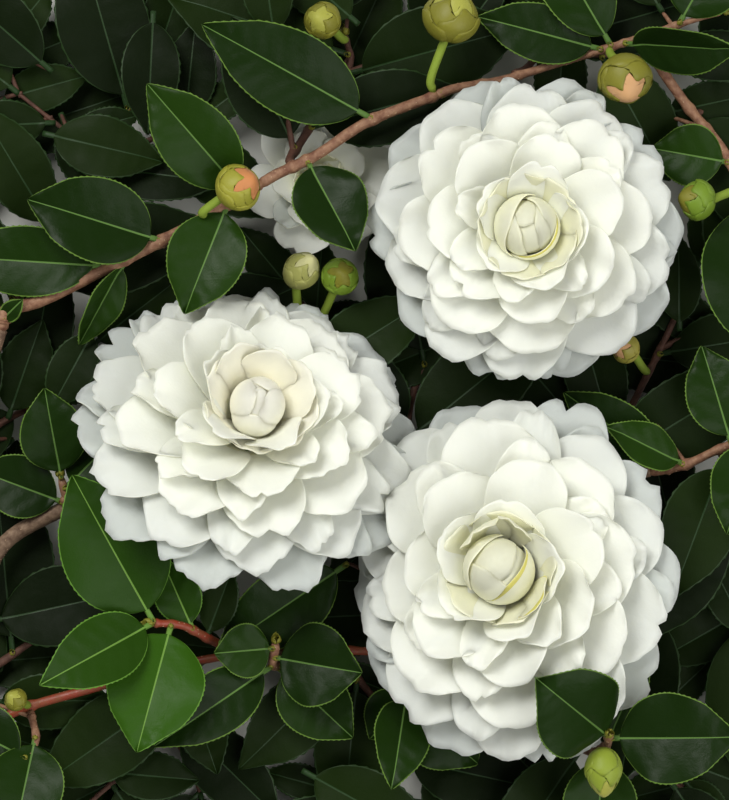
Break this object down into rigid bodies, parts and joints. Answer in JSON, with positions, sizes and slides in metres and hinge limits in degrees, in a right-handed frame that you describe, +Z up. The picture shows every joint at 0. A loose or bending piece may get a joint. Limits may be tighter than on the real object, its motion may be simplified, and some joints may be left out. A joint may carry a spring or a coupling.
{
  "type": "cut camellia branch with double white blooms",
  "caption": "Cut camellia branch lying flat, seen from above: leafy twigs on a woody stem, large double white blooms facing up and round green buds.",
  "frame": {"origin": "middle of the branch's bounding box on the surface that it lies on, z = 0", "axes": "+Z up, away from that surface and towards the open blooms; +Y away from the stem's cut end; +X from the stem towards the twig tips"},
  "size_m": [0.233, 0.247, 0.0699],
  "materials": {
    "bark": "pinkish brown bark, matte, with fine cracks and pale pores",
    "young_bark": "reddish brown young bark, smooth and slightly glossy",
    "leaf": "leathery dark green leaves, glossy above, on brown twigs",
    "young_leaf": "fresh mid green leaves, glossy above, on a red shoot",
    "petal": "soft white petals, cream towards the middle",
    "bud": "yellow green overlapping bud scales, satin",
    "sepal": "green sepals on a short green brown stalk, satin"
  },
  "bodies": {
    "root": {"stem": "bark", "middle_bough": "bark", "lower_bough": "young_bark", "bloom_1_stalk": "sepal", "bloom_2_stalk": "sepal", "bloom_3_stalk": "sepal", "bloom_4_stalk": "sepal", "bloom_1": "petal", "bloom_2": "petal", "bloom_3": "petal", "bloom_4": "petal", "bud_1": "bud", "bud_2": "bud", "bud_3": "bud", "bud_4": "bud", "bud_5": "bud", "bud_6": "bud", "bud_7": "bud", "bud_8": "bud", "bud_9": "bud", "bud_10": "bud", "upper_spray_1": "leaf", "upper_spray_2": "leaf", "upper_spray_3": "leaf", "right_shoot": "leaf", "right_spray": "leaf", "young_spray": "young_leaf", "lower_left_spray": "leaf", "left_spray": "leaf", "lower_mid_spray": "leaf", "lower_centre_spray": "leaf", "front_spray": "leaf", "fill_spray_1": "leaf", "fill_spray_2": "leaf", "fill_spray_3": "leaf", "fill_spray_4": "leaf", "fill_spray_5": "leaf", "fill_spray_6": "leaf", "fill_spray_7": "leaf", "fill_spray_8": "leaf", "fill_spray_9": "leaf", "fill_spray_10": "leaf", "fill_spray_11": "leaf", "fill_spray_12": "leaf", "fill_spray_13": "leaf", "fill_spray_14": "leaf"}
  },
  "joints": []
}
